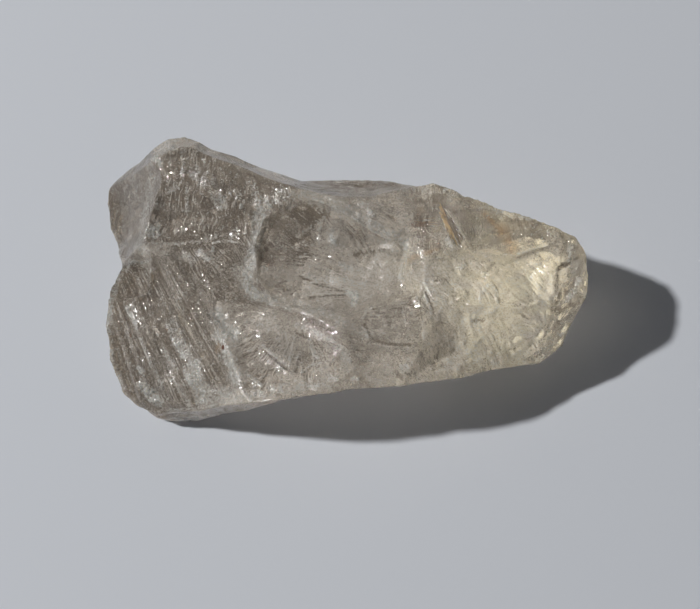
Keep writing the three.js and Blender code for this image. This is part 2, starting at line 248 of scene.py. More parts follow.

# Where the surface is crushed to a white frost, and where that white is painted in for the lamp's
# glints: half width, strength, line.
CRUSHED_AND_GLINT_MARKS = [
    # the rim of the stepped block, its pocket and its steps
    (0.83, 0.6, (-36.6, 3.3), (-37.9, -1.4), (-38.6, -8.2), (-38.0, -13.7), (-36.3, -17.8)),
    (0.42, 0.8, (-36.0, 2.0), (-34.9, 2.9), (-33.2, 3.0), (-31.8, 2.3), (-31.0, 0.7)),
    (0.42, 1, (-35.0, -5.0), (-34.3, -6.2), (-33.4, -7.5)),
    (0.5, 1, (-33.1, -14.6), (-32.5, -15.3)),
    (0.83, 1, (-32.5, -17.3), (-31.7, -18.5), (-30.9, -19.3), (-29.5, -20.1)),
    (0.5, 1, (-30.8, -18.2), (-30.0, -19.1)),
    (0.58, 0.9, (-25.0, -16.0), (-24.2, -17.7)),
    (0.5, 1, (-23.3, -15.6), (-22.7, -16.3)),
    (1.5, 0.5, (-27.3, -8.4), (-26.2, -10.8), (-24.9, -12.8)),
    (0.67, 0.9, (-26.2, -11.6), (-25.4, -13.4)),
    (1.5, 0.75, (-23.5, -15.1), (-23.2, -18.3), (-22.0, -20.3)),
    (1.33, 0.55, (-21.7, -19.1), (-19.1, -20.3), (-16.6, -21.1)),
    (1.5, 0.8, (-19.6, -7.5), (-18.9, -9.7), (-17.2, -10.9)),
    (0.83, 0.5, (-25.2, 2.6), (-24.0, 1.6)),
    (0.83, 0.6, (-22.8, 3.2), (-21.4, 1.8)),
    (0.33, 1, (-20.6, 3.9), (-20.6, 3.4)),
    (0.83, 0.6, (-33.7, 5.3), (-32.5, 4.3)),
    (0.33, 0.5, (-33.5, -7.9), (-31.0, -13.6), (-28.1, -19.9)),
    (0.5, 0.4, (-27.6, -16.2), (-24.3, -21.1)),
    (0.67, 0.3, (-29.3, -11.4), (-26.8, -15.8)),
    (0.37, 0.5, (-32.4, -10.3), (-30.7, -14.4), (-29.3, -17.6)),
    # the peak, the ridge over the lobe and the brown mass
    (0.83, 0.35, (-31.3, 18.4), (-30.0, 20.5), (-27.8, 21.4), (-25.3, 21.7), (-22.8, 20.4),
     (-20.3, 18.3)),
    (0.58, 1, (-30.4, 19.2), (-29.4, 17.6)),
    (0.75, 0.7, (-29.6, 20.4), (-27.2, 19.9)),
    (0.5, 0.5, (-27.0, 21.4), (-25.3, 21.5)),
    (1.17, 0.45, (-31.0, 16.2), (-32.0, 13.1), (-32.4, 9.3), (-32.8, 5.4)),
    (0.83, 0.9, (-31.4, 6.8), (-30.0, 8.0), (-30.3, 6.4)),
    (0.33, 0.6, (-25.5, 17.9), (-25.7, 15.5)),
    (1.33, 0.4, (-24.4, 16.6), (-21.6, 14.2)),
    (0.33, 0.5, (-28.6, 12.7), (-26.4, 13.6)),
    (0.42, 0.6, (-24.9, 12.8), (-24.9, 10.1)),
    (1.17, 0.4, (-20.3, 12.6), (-19.2, 10.6)),
    (0.67, 0.4, (-16.9, 12.6), (-15.9, 11.3)),
    (0.33, 0.9, (-22.2, 17.6), (-21.9, 17.3)),
    (0.33, 0.9, (-16.0, 10.3), (-16.1, 10.1)),
    (0.42, 0.9, (-11.3, 10.3), (-11.3, 9.7)),
    (0.33, 0.9, (-9.5, 10.6), (-9.4, 10.3)),
    (1.0, 0.35, (-14.3, 13.7), (-13.9, 12.1)),
    (1.33, 0.35, (-13.8, 10.5), (-10.5, 11.1), (-8.4, 11.8)),
    (0.27, 0.35, (-32.2, 5.0), (-26.1, 4.8), (-22.0, 5.2), (-18.7, 6.1), (-14.3, 6.0)),
    (0.2, 0.4, (-22.0, 4.6), (-18.2, 5.1), (-14.9, 4.1)),
    # the rim of the big hollow, the frosted ridge and the middle ridge
    (1.3, 0.8, (-12.6, 10.4), (-13.3, 7.4), (-13.8, 4.1), (-14.6, 0.9), (-15.1, -2.5),
     (-13.5, -4.5), (-10.9, -4.9)),
    (1.5, 0.45, (-16.2, 0.1), (-13.7, -3.7)),
    (0.23, 0.5, (-6.0, 7.1), (-2.4, 8.9)),
    (0.23, 0.4, (-2.9, 8.6), (-3.6, 6.8), (-3.4, 4.7)),
    (0.67, 0.8, (-1.4, 6.5), (-1.1, 4.8)),
    (0.5, 0.6, (0.0, 1.8), (1.8, 0.9)),
    (0.75, 1, (1.3, -3.2), (2.6, -3.6), (2.1, -5.5)),
    (0.58, 0.8, (10.5, 4.9), (10.5, 2.0), (10.0, -1.0)),
    (1.33, 0.6, (-5.6, 12.3), (-1.6, 10.4), (2.5, 8.5), (6.5, 5.7), (9.7, 4.6)),
    (0.83, 0.5, (-0.3, 9.7), (3.3, 10.3)),
    (0.42, 0.9, (4.6, 9.4), (5.4, 8.6)),
    (0.33, 0.6, (3.7, -8.4), (4.4, -6.9), (5.6, -6.3)),
    (0.33, 1, (-12.1, 0.7), (-12.1, 0.4)),
    (1.0, 0.45, (-11.2, -4.9), (-6.4, -5.7), (-2.3, -7.5), (0.9, -9.8)),
    (1.33, 0.5, (-8.0, -5.2), (-4.4, -7.0)),
    (0.25, 0.7, (-10.9, -6.1), (-9.2, -6.3), (-7.6, -7.3)),
    (1.0, 0.4, (1.6, -10.1), (4.5, -11.0)),
    (0.22, 0.4, (-10.3, 5.8), (-9.0, 5.6)),
    (0.22, 0.4, (-10.4, 4.8), (-8.8, 4.6)),
    (0.83, 0.3, (-4.9, -0.3), (0.8, -1.4), (3.6, -2.0)),
    # the window, the east face and the blunt end
    (0.67, 0.45, (23.4, 10.0), (26.6, 8.8), (30.6, 7.7)),
    (0.33, 1, (16.9, 12.4), (16.9, 12.1)),
    (0.5, 0.5, (18.3, 12.1), (18.9, 11.8)),
    (0.58, 0.7, (17.3, 4.4), (18.0, 3.0)),
    (0.27, 0.5, (28.0, 1.5), (32.9, 3.2), (34.8, 4.4), (36.2, 5.4)),
    (0.33, 0.75, (22.3, -6.7), (22.4, -4.8), (23.4, -3.5), (24.2, -3.0), (25.0, -4.3),
     (25.2, -6.7)),
    (0.58, 0.8, (18.7, -0.5), (19.6, -0.0)),
    (0.33, 0.7, (23.0, -1.2), (23.0, -1.6)),
    (0.75, 0.6, (17.3, -15.0), (17.9, -14.9)),
    (0.5, 0.8, (24.5, -14.7), (24.8, -15.0)),
    (0.67, 0.5, (20.0, -8.6), (22.4, -7.5), (25.5, -6.9)),
    (0.67, 0.6, (21.8, -9.2), (22.4, -9.5)),
    (0.83, 0.7, (36.6, 3.0), (37.5, 0.5), (37.2, -1.5)),
    (0.58, 0.8, (36.5, -5.5), (37.5, -3.8), (38.5, -2.3)),
    (1.0, 0.5, (38.8, -4.8), (39.1, -5.4)),
    (1.0, 0.55, (33.7, -11.8), (35.6, -10.2), (37.4, -8.1)),
    (0.5, 0.8, (36.0, -8.4), (36.3, -10.2), (37.2, -9.4)),
    (0.83, 0.3, (27.5, -13.9), (29.2, -13.3)),
    (0.25, 0.5, (13.5, -3.9), (14.7, -7.8)),
    (0.25, 0.4, (17.0, -5.1), (15.5, -8.5)),
    (1.33, 0.25, (14.5, -3.1), (16.0, -5.6)),
    (0.33, 0.5, (14.9, 13.9), (13.1, 12.4)),
    (0.5, 0.35, (21.7, -12.4), (25.7, -10.0)),
    (1.0, 0.3, (18.4, -12.5), (22.5, -14.7)),
    # the front
    (0.23, 0.5, (-7.1, -11.1), (-8.0, -15.4)),
    (0.33, 0.7, (-4.7, -12.0), (-4.2, -13.7), (-3.6, -14.9)),
    (0.23, 0.6, (-5.9, -17.4), (-4.4, -16.1), (-2.3, -16.0)),
    (0.67, 0.5, (-7.1, -9.4), (-4.7, -10.3), (-1.5, -12.2), (0.9, -14.3), (1.3, -16.0)),
    (0.2, 0.4, (-13.1, -9.5), (-12.4, -8.0)),
    (0.2, 0.4, (-11.4, -10.3), (-10.5, -8.2)),
    (1.33, 0.4, (-21.7, -20.0), (-14.1, -20.9), (-7.8, -20.0), (-1.5, -19.1)),
    (0.42, 0.8, (-0.9, -18.5), (-0.4, -18.8)),
    (0.42, 0.8, (2.1, -18.5), (2.8, -18.6)),
    (0.42, 0.6, (5.7, -18.8), (6.4, -18.9)),
    (0.5, 0.9, (-13.0, -20.9), (-12.5, -20.6)),
    (1.33, 0.4, (-12.2, -21.2), (-11.2, -20.9)),
    (0.67, 0.5, (-17.8, -15.3), (-16.6, -17.1)),
    (0.33, 0.5, (-14.5, -17.6), (-12.2, -19.3)),
    (0.67, 0.7, (10.0, -16.8), (10.6, -16.8)),
    (0.2, 0.6, (-29.2, -21.3), (-22.6, -21.8), (-15.9, -21.9)),
    (0.33, 0.4, (-12.3, -13.0), (-10.2, -14.6), (-8.6, -16.2)),
    (0.67, 0.3, (0.9, -17.5), (5.6, -16.2)),
    (1.0, 0.7, (-19.8, -10.8), (-17.9, -14.2), (-16.4, -18.5)),
]

# Where the stone is smokier or a narrow crack runs, and where shade is painted in: half width,
# strength, line.
SMOKE_AND_SHADE_MARKS = [
    # a little haze where the front meets the east face
    (4.0, 0.14, (15.5, -4.0), (15.5, -14.0)),
    # the pocket, the steps and the shaded side of the block
    (2.0, 0.75, (-34.7, 1.4), (-33.2, -0.6), (-31.0, -2.5)),
    (0.27, 0.6, (-26.7, 1.3), (-23.3, -3.7), (-20.5, -8.7)),
    (0.27, 0.5, (-27.9, 3.2), (-25.0, -1.7)),
    (0.23, 0.5, (-25.5, 1.5), (-23.0, -3.4)),
    (0.27, 0.5, (-35.4, -0.2), (-33.2, -4.7)),
    (0.3, 0.5, (-37.6, -4.2), (-35.8, -8.5), (-32.8, -15.7)),
    (0.33, 0.4, (-24.2, -6.4), (-21.7, -10.5)),
    (0.25, 0.4, (-31.0, -4.5), (-29.3, -3.6)),
    (2.33, 0.25, (-31.0, -4.1), (-28.4, -9.1)),
    (1.0, 0.35, (-21.9, 1.0), (-21.3, -1.3)),
    (0.33, 0.4, (-29.3, -9.8), (-25.0, -14.9)),
    (0.42, 0.35, (-29.4, -18.0), (-27.4, -20.3)),
    (0.83, 0.3, (-37.1, -9.8), (-35.5, -15.4)),
    # the brown mass, and painted shade in the band under its crease
    (0.83, 0.5, (-30.7, 10.2), (-28.1, 8.8)),
    (1.33, 0.4, (-22.9, 13.0), (-22.1, 9.1)),
    (1.33, 0.25, (-27.7, 17.3), (-27.4, 14.4)),
    (0.5, 0.4, (-29.3, 4.1), (-22.8, 3.9), (-17.9, 4.1)),
    (0.25, 0.6, (-19.6, 20.0), (-16.3, 19.0), (-13.4, 17.9)),
    (0.25, 0.5, (-14.6, 15.2), (-12.6, 13.9), (-11.0, 13.5)),
    (1.5, 0.25, (-28.6, 8.0), (-22.8, 7.1)),
    (1.0, 0.3, (-17.8, 11.6), (-17.0, 10.1)),
    (0.83, 0.3, (-24.1, 16.0), (-21.9, 15.2)),
    (0.83, 0.3, (-8.9, 9.8), (-9.7, 9.3)),
    # painted shade on the deep side of the hollow, and the cracks round it
    (1.33, 0.6, (-13.3, 3.5), (-11.7, 2.7)),
    (1.17, 0.6, (-6.5, 9.5), (-2.4, 9.7)),
    (1.0, 0.3, (-0.8, 7.7), (4.1, 5.8)),
    (1.0, 0.3, (-1.6, 15.0), (9.8, 14.0)),
    (0.30, 0.45, (2.4, 3.2), (4.6, 3.6), (7.3, 3.7)),
    (0.27, 0.5, (4.0, -9.6), (5.1, -11.9), (7.2, -12.8), (11.1, -13.0)),
    (0.58, 0.35, (-19.2, -5.2), (-12.8, -5.7), (-6.3, -7.8), (-0.7, -11.0)),
    (1.33, 0.3, (-10.5, -0.5), (-8.9, -3.2)),
    (0.23, 0.4, (-6.5, -0.3), (-3.2, -2.2), (0.8, -3.2)),
    (0.23, 0.4, (-4.8, -4.3), (0.8, -3.8)),
    # the window and the east face
    (1.0, 0.4, (13.8, 7.7), (13.7, 3.7)),
    (0.67, 0.3, (18.3, 10.1), (18.9, 8.4)),
    (0.33, 0.6, (33.9, -7.0), (37.2, -6.2), (39.5, -5.1)),
    (0.22, 0.5, (13.8, -4.2), (15.0, -7.5)),
    (0.5, 0.3, (12.9, -2.5), (16.9, -2.2)),
    (0.33, 0.4, (21.6, -8.8), (23.1, -8.6)),
    (0.67, 0.25, (18.4, -5.6), (20.8, -6.5)),
    (1.33, 0.25, (29.0, 8.2), (33.0, 5.0)),
    (0.83, 0.3, (32.1, 1.2), (34.4, 0.4)),
    (0.36, 0.6, (35.2, -0.5), (37.2, 0.5), (38.1, 1.1)),
    (0.36, 0.6, (36.1, -4.3), (37.5, -2.7)),
    (0.33, 0.4, (12.2, 10.9), (14.6, 11.3)),
    # the front
    (0.22, 0.5, (-12.3, -13.6), (-10.2, -15.3), (-8.3, -17.0)),
    (0.23, 0.5, (-6.8, -10.8), (-5.0, -11.6), (-3.7, -12.9)),
    (2.0, 0.2, (-15.0, -15.1), (-12.9, -17.1)),
    (0.67, 0.35, (-12.2, -19.8), (-15.7, -19.4)),
    (1.0, 0.2, (-6.2, -16.3), (-4.6, -18.8)),
    (0.83, 0.25, (-6.3, -13.6), (-5.5, -15.4)),
]


def ramp(value, low, high):
    # Climbs smoothly from 0 to 1 as the value goes from low to high.
    t = np.clip((value - low) / (high - low), 0, 1)
    return t * t * (3 - 2 * t)


def toss(cell, seed):
    # A chance number from 0 to 1 for each whole-numbered cell; the large
    # numbers only scramble its bits.
    h = (cell[..., 0] * 374761393 + cell[..., 1] * 668265263
         + cell[..., 2] * 2147483647 + seed * 1274126177) & 0xFFFFFFFF
    h = ((h ^ (h >> 13)) * 1274126177) & 0xFFFFFFFF
    h = ((h ^ (h >> 16)) * 2246822519) & 0xFFFFFFFF
    return ((h ^ (h >> 15)) & 0xFFFFFF) / 0xFFFFFF


def swell(spots, size, seed=0):
    # Smooth wandering, -1 to 1, with hills about size mm across.
    q = spots / size
    cell = np.floor(q).astype(np.int64)
    t = q - cell
    t = t * t * t * (t * (6 * t - 15) + 10)
    total = 0
    for corner in range(8):
        step = np.array([corner & 1, corner >> 1 & 1, corner >> 2])
        share = np.prod(np.where(step, t, 1 - t), axis=-1)
        total = total + share * toss(cell + step, seed)
    return total * 2 - 1


def shells(spots, size, seed=0):
    # Conchoidal scallops: 0 in the middle of each, rising to sharp ridges
    # where they meet.  Also gives where the middle of each lies.
    q = spots / size
    cell = np.floor(q).astype(np.int64)
    near = np.full(len(q), 9.0)
    middle = np.zeros_like(q)
    for i in range(27):
        home = cell + np.array([i % 3, i // 3 % 3, i // 9]) - 1
        seat = home + np.stack([toss(home, seed + k) for k in (1, 2, 3)], axis=-1)
        far = np.sum((q - seat) ** 2, axis=-1)
        closer = far < near
        near = np.where(closer, far, near)
        middle = np.where(closer[:, None], seat, middle)
    return near, middle * size


def line_gap(spots, start, stop):
    # Distance in plan to the nearest of some straight lines.
    edge = stop - start
    x, y = spots[:, 0:1], spots[:, 1:2]
    along = np.clip(((x - start[:, 0]) * edge[:, 0] + (y - start[:, 1]) * edge[:, 1])
                    / np.sum(edge ** 2, axis=1), 0, 1)
    return np.hypot(x - start[:, 0] - along * edge[:, 0],
                    y - start[:, 1] - along * edge[:, 1]).min(axis=1)


def across(spots, outline, soft):
    # 1 inside a plan outline and 0 outside, over a border soft mm wide.
    corner = np.array(outline, float)
    following = np.roll(corner, -1, axis=0)
    gap = line_gap(spots, corner, following)
    x, y = spots[:, 0:1], spots[:, 1:2]
    rise = following[:, 1] - corner[:, 1]
    crosses = ((corner[:, 1] > y) != (following[:, 1] > y)) & (
        x < (following[:, 0] - corner[:, 0]) * (y - corner[:, 1])
        / np.where(rise == 0, 1e-9, rise) + corner[:, 0])
    inside = crosses.sum(axis=1) % 2 == 1
    return ramp(np.where(inside, gap, -gap), -soft / 2, soft / 2)


NARROW = 0.45  # a mark of less half width is a ridge or a crack


def marked(spots, marks, narrow=None):
    # How strongly each spot is marked, by the strongest mark that reaches it.
    # Narrow True or False leaves out the wide or the narrow marks.
    total = np.zeros(len(spots))
    for width, strength, *line in marks:
        if narrow is not None and (width < NARROW) != narrow:
            continue
        point = np.array(line, float)
        gap = line_gap(spots, point[:-1], point[1:])
        total = np.maximum(total, strength * (1 - ramp(gap, 0.35 * width, 1.25 * width)))
    return total


def ridged(wide, long, seed):
    # Sharp little ridges that run along the second direction.
    return 1 - np.abs(swell(np.stack([wide, long, 0 * wide], axis=1), 1.0, seed))


BORDER = 1.3  # breaks run into each other over this width
STEPPED_BORDER = 1.6


def read_surface(spots, facing):
    # What the breaks say about each spot: which way up it faces, how its
    # hackles run, and how much of each kind of roughness and smoke it has.
    top = ramp(facing[:, 2], 0.15, 0.45)
    kinds = ("hackles", "ripples", "scallops", "smoke_and_shade")
    said = {kind: np.zeros(len(spots)) for kind in kinds + ("wide", "long")}
    said.update(top=top, begun=np.ones(len(spots)))
    drift = np.stack([swell(spots, 4.5, s) for s in (11, 12, 13)], axis=1)
    covered = np.zeros(len(spots))
    for order, row in enumerate(BREAKS.values()):
        share = across(spots, row["outline"], BORDER) * top
        out = spots[:, :2] + row.get("wobble", STRAY) * drift[:, :2] - np.array(row["struck"])
        far = np.hypot(out[:, 0], out[:, 1])
        bearing = np.arctan2(out[:, 1], out[:, 0]) * row["reach"]
        width, length, height = row["hackles"]
        pitch, swing = row["ripples"]
        ridge = ridged(bearing / width + 37 * order, far / length, 100 + order)
        ridge = ridge + 0.45 * ridged(bearing / width * 2.3, far / length * 2, 120 + order)
        begun = ramp(far / row["reach"], 0.1, 0.75)
        said["hackles"] += share * height * begun * (ridge - 0.9)
        uneven = np.clip(0.5 + 1.2 * swell(spots, 3.1, 140 + order), 0, 1)
        said["ripples"] += share * swing * uneven * np.sin(
            2 * math.pi * (far + 0.6 * drift[:, 2]) / pitch)
        said["scallops"] += share * row["scallops"]
        said["smoke_and_shade"] += share * row["smoke_and_shade"]
        chosen = share > 0.5
        said["wide"][chosen] = bearing[chosen] + 50 * order
        said["long"][chosen] = far[chosen]
        said["begun"][chosen] = begun[chosen]
        covered += share
    covered = np.maximum(covered, 1)
    for kind in kinds:
        said[kind] /= covered
    said["drift"] = drift
    return said


TREADS = [(1.5, 0.55, 5), (1.5 * 0.37, 0.17, 6)]  # pitch, height and seed
STEPPED = [(-36.6, 2.4), (-38.0, -3.2), (-38.5, -7.5), (-37.6, -12.5), (-36.2, -17.3),
           (-33.3, -20.2), (-24.4, -21.4), (-19.6, -21.4), (-17.0, -19.0), (-18.6, -13.9),
           (-21.2, -8.6), (-24.8, -3.0), (-28.1, 1.8), (-30.9, 2.6)]


def treads(spots, wide):
    # The height of the block's long straight treads, and how much darker each one is than
    # the middling one: a smokiness of its own, and painted shade on its riser.
    rise = np.zeros(len(spots))
    shade = np.zeros(len(spots))
    for pitch, height, seed in TREADS:
        count = wide / pitch + 0.30 * swell(spots, 11.0, 60 + seed)
        tread = np.floor(count)
        part = count - tread
        here, after = (toss(np.stack([step, 0 * step, 0 * step], axis=1).astype(np.int64), seed)
                       for step in (tread, tread + 1))
        riser = ramp(part, 0.82, 1)
        rise += height * (here + (after - here) * riser - 0.5 + 0.35 * (part - 0.5) * (1 - riser))
        shade += 0.5 * here + 0.4 * riser
    return rise, shade - 0.6


# ------------------------------------------------------- stone: its surface
# The cast of the broken lump is eased, then each break's hackles, ripples
# and scallops are raised on it, and the points are thinned where it is flat.

GRAIN = 0.19  # spacing of the first, even surface points
MOST_TRIANGLES = 196000
EASE_TURNS = 8  # smoothing of the cast itself
FACING_TURNS = 22  # smoothing of the way it faces
EDGE_TURNS = 7  # spreading of the calm strip along sharp edges
SETTLE_TURNS = 9  # smoothing of that strip after the raising

cad_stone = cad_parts["quartz_stone"]
shell = bmesh.new()
shell.from_mesh(cad_stone.data)
bmesh.ops.remove_doubles(shell, verts=shell.verts, dist=1e-6)
stone_mesh = bpy.data.meshes.new("stone")
shell.to_mesh(stone_mesh)
shell.free()
stone = placed("stone", stone_mesh)


def finished(piece):
    # A piece's mesh with its modifiers done.
    made = bpy.data.meshes.new_from_object(
        piece.evaluated_get(bpy.context.evaluated_depsgraph_get()))
    piece.modifiers.clear()
    piece.data = made
    return made


remesh = stone.modifiers.new("remesh", "REMESH")
remesh.mode = "VOXEL"
remesh.voxel_size = GRAIN * MM
ease = stone.modifiers.new("ease", "SMOOTH")
ease.factor = 0.5
ease.iterations = EASE_TURNS
skin = finished(stone)


def points(mesh, what):
    # The places, or the ways they face, of all a mesh's points.
    flat = np.empty(len(mesh.vertices) * 3)
    mesh.vertices.foreach_get(what, flat)
    return flat.reshape(-1, 3)


def neighbours(mesh):
    # Which two points each edge joins.
    flat = np.empty(len(mesh.edges) * 2, dtype=np.int32)
    mesh.edges.foreach_get("vertices", flat)
    return flat.reshape(-1, 2)


def around(value, pairs):
    # The mean of each point's neighbours.
    count = np.bincount(pairs.ravel(), minlength=len(value))
    return np.stack([
        (np.bincount(pairs[:, 0], column[pairs[:, 1]], len(value))
         + np.bincount(pairs[:, 1], column[pairs[:, 0]], len(value))) / count
        for column in value.T], axis=1)


spots = points(skin, "co") / MM
pairs = neighbours(skin)
facing = points(skin, "normal")
for turn in range(FACING_TURNS):
    facing = 0.5 * facing + 0.5 * around(facing, pairs)
straight = np.linalg.norm(facing, axis=1)
facing /= straight[:, None]

# Little is raised near the sharp edges between broad faces.
keep_edge = 1 - 0.9 * ramp(1 - straight, 0.008, 0.07)
for turn in range(EDGE_TURNS):
    keep_edge = np.minimum(keep_edge, around(keep_edge[:, None], pairs)[:, 0] * 0.97 + 0.03)

said = read_surface(spots, facing)
drift = said["drift"]
crushed_and_glints = marked(spots, CRUSHED_AND_GLINT_MARKS) * said["top"]
under = ramp(-facing[:, 2], 0.5, 0.85) * ramp(-spots[:, 2], -1.2, -0.4)
flank = np.clip(1 - said["top"] - under, 0, 1)

# Broad scallops, with smaller ones riding on them: size, drift, height, seed.
SCALLOPS = [(6.5, 1.2, 0.42, 20), (2.4, 0.8, 0.26, 30), (0.95, 0.5, 0.10, 40)]
SCALLOP_LEVEL = 0.35  # how far up its bowl a scallop meets the cast
rough = said["scallops"] + flank
rise = np.zeros(len(spots))
middles = []
for size, stray, height, seed in SCALLOPS:
    bowl, middle = shells(spots + drift * stray, size, seed)
    middles.append(middle)
    rise += height * (bowl - SCALLOP_LEVEL) * rough
rise += 0.06 * swell(spots, 1.3, 50) * (rough + 0.15)
rise += 0.035 * swell(spots, 0.55, 51)

rise += said["hackles"] + said["ripples"]

# On the flanks rings run out from a struck place beside each broad scallop's
# middle, over upright ribs.
RING_PITCH = 1.5
RING_HEIGHT = 0.11
RIB_HEIGHT = 0.10
ASIDE = 4.0  # the struck place is up to half of this off, each way
cell = np.floor(middles[0] * 10).astype(np.int64)
aside = ASIDE * np.stack([toss(cell, s) - 0.5 for s in (7, 8, 9)], axis=1)
ring = np.linalg.norm(spots - middles[0] - aside, axis=1)
rise += flank * RING_HEIGHT * np.sin(2 * math.pi * (ring + 0.5 * drift[:, 0]) / RING_PITCH)
rise += flank * RIB_HEIGHT * swell(spots * np.array([1.0, 1.0, 0.3]), 0.8, 52)

# The stepped block: flat treads at uneven heights, with crisp risers.
stepped = across(spots, STEPPED, STEPPED_BORDER) * said["top"]
rise += stepped * treads(spots, said["wide"])[0]

# Small facets tilted so that the lamp flashes in them: place and radius.
GLINTS = [
    (2.0, -3.6, 0.8), (2.4, -4.9, 0.9), (1.2, -4.6, 0.5), (-1.3, 5.7, 0.7), (-33.2, 2.4, 0.6),
    (-34.3, -5.7, 0.7), (-33.6, -7.1, 0.8), (-31.8, -18.1, 0.8), (-30.5, -19.4, 0.8),
    (-32.6, -17.0, 0.6), (-24.5, -16.7, 0.8), (-23.0, -15.9, 0.5), (-29.7, 18.2, 0.9),
    (-29.2, 17.2, 0.6), (-30.8, 7.3, 0.9), (-30.1, 6.2, 0.7), (-25.1, 11.0, 0.5), (19.1, -0.5, 0.8),
    (33.0, -5.2, 0.7), (33.6, -3.9, 0.8), (32.6, 0.9, 0.6), (31.2, -12.2, 0.8), (32.4, -10.4, 0.9),
    (-36.5, -15.6, 0.4), (10.3, 1.2, 0.6), (10.8, 3.4, 0.6), (16.9, 12.3, 0.4), (-0.7, -18.7, 0.5),
    (-12.7, -20.7, 0.6), (23.0, -1.4, 0.4), (24.6, -14.8, 0.5),
]
FLASH_EAST = 0.385  # how steeply such a facet climbs eastwards
FLASH_NORTH = 0.076
for x, y, radius in GLINTS:
    gap_x, gap_y = spots[:, 0] - x, spots[:, 1] - y
    near = np.exp(-(np.hypot(gap_x, gap_y) / (0.9 * radius)) ** 2) * said["top"]
    climb_x = np.clip(FLASH_EAST * facing[:, 2] + facing[:, 0], -0.5, 0.5)
    climb_y = np.clip(FLASH_NORTH * facing[:, 2] + facing[:, 1], -0.5, 0.5)
    rise += near * (climb_x * gap_x + climb_y * gap_y) - 0.6 * near * rise
    rise += 0.02 * near * swell(spots, 0.6, 53)

# Dents and swellings too small for the cast: place, radii and height.
DENTS = [
    (-31.8, -0.8, 2.4, 3.0, -1.1), (10.6, 0.8, 1.3, 2.4, 0.5), (-27.5, 7.5, 2.2, 2.0, -0.5),
    (22.5, 6.5, 2.5, 2.5, -0.4), (-14.5, -14.0, 2.0, 1.5, -0.4), (25.0, -3.0, 4.5, 3.0, 0.5),
    (33.5, -3.5, 2.5, 3.5, 0.5), (28.5, -10.0, 3.0, 2.2, 0.5), (18.0, -9.5, 3.0, 2.0, -0.5),
]
for x, y, wide, long, height in DENTS:
    rise += height * np.exp(-((spots[:, 0] - x) / wide) ** 2
                            - ((spots[:, 1] - y) / long) ** 2) * said["top"]

# The big hollow is deeper than the cast has it, most of all at its east end.
deeper = 0.7 + 0.17 * np.clip(spots[:, 0] + 1, 0, 10)
rise -= across(spots, BREAKS["hollow"]["outline"], 3.0) * said["top"] * deeper

# The dish over the needles is shallower than the cast has it.
DISH_RAISED = 0.5
NEEDLE_DISH = [(9.4, 12.9), (11, 8.5), (11.7, 4.6), (14.5, 1.8), (18.5, 3.1), (20.9, 1.9),
               (18.2, 12.9), (14.9, 14.2), (12.7, 14.3)]
rise += DISH_RAISED * across(spots, NEEDLE_DISH, 4.0) * said["top"]

# Crushed places are granular, and narrow marks are small ridges or cracks.
GRIT_HEIGHT = 0.30
RIDGE_HEIGHT = 0.16
CRACK_DEPTH = 0.20


def gritty(spots):
    # The uneven grain of a crushed place.
    return 0.5 * swell(spots, 0.62, 80) + 0.5 * swell(spots, 0.36, 81)


rise += crushed_and_glints * GRIT_HEIGHT * gritty(spots)
rise += RIDGE_HEIGHT * marked(spots, CRUSHED_AND_GLINT_MARKS, narrow=True) * said["top"]
rise -= CRACK_DEPTH * marked(spots, SMOKE_AND_SHADE_MARKS, narrow=True) * said["top"]

# Underneath, the break it rests on is scooped, with its ridges on the table:
# size, drift, depth, how wide the scoops are, and seed.
SCOOPS = [(7.5, 1.5, 3.8, 0.85, 90), (2.8, 1.0, 1.1, 0.8, 94)]
LEVEL = np.array([1, 1, 0])
lift = np.zeros(len(spots))
for size, stray, depth, reach, seed in SCOOPS:
    bowl = shells(spots * LEVEL + drift * LEVEL * stray, size, seed)[0]
    lift += depth * np.clip(reach - bowl, 0, 1)

moved = spots + facing * (rise * keep_edge)[:, None]
moved[:, 2] += under * lift
for turn in range(SETTLE_TURNS):
    moved = moved + (1 - keep_edge)[:, None] * 0.6 * (around(moved, pairs) - moved)
low, high = (np.array(v) / MM for v in cad_box)
skin.vertices.foreach_set("co", (np.clip(moved, low, high) * MM).ravel())
skin.update()

thin = stone.modifiers.new("thin", "DECIMATE")
thin.ratio = MOST_TRIANGLES / sum(len(p.vertices) - 2 for p in skin.polygons)
thin.use_collapse_triangulate = True
skin = finished(stone)
skin.name = "stone"
skin.shade_smooth()


# -------------------------------------------------------- stone: its quartz
# Clear quartz with a little smoke in it, yellower at the east end; its colour is
# darkened as painted shade in the hollow, the dents, a crease and the steps' risers.
# Where it is crushed it turns to a rough white frost, also painted in where the
# lamp glints.  It stays see-through, and how far depends on which of four kinds
# of quartz a face is.

CLEAR = (0.96, 0.89, 0.79, 1)
SMOKE_AND_SHADE_COLOUR = (0.31, 0.262, 0.214, 1)
AMBER = (1.0, 0.93, 0.74, 1)
FROST_AND_GLINT_WHITE = (0.86, 0.87, 0.82, 1)
RUST = (0.80, 0.42, 0.12, 1)
SOFT_TURNS = 9  # smoothing of the way it faces
SMOKE_ALL_OVER = 0.20
SMOKE_ON_FLANKS = 0.22
PAINTED_SHADE_IN_HOLLOW = 0.54
SMOKE_AND_SHADE_ON_TREADS = 0.34

spots = points(skin, "co") / MM
pairs = neighbours(skin)
facing = points(skin, "normal")
soft_facing = facing
for turn in range(SOFT_TURNS):
    soft_facing = around(soft_facing, pairs)
said = read_surface(spots, soft_facing)
top = said["top"]
flank = np.clip(1 - top, 0, 1)
under = ramp(-soft_facing[:, 2], 0.35, 0.7)
curl = np.sum((spots - around(spots, pairs)) * facing, axis=1) / GRAIN
# Crushed frost, with white also painted in where the lamp's glints show.
crushed_and_glints = marked(spots, CRUSHED_AND_GLINT_MARKS) * top
streak = ridged(said["wide"] / 0.35, said["long"] / 2.5, 140) - 0.5

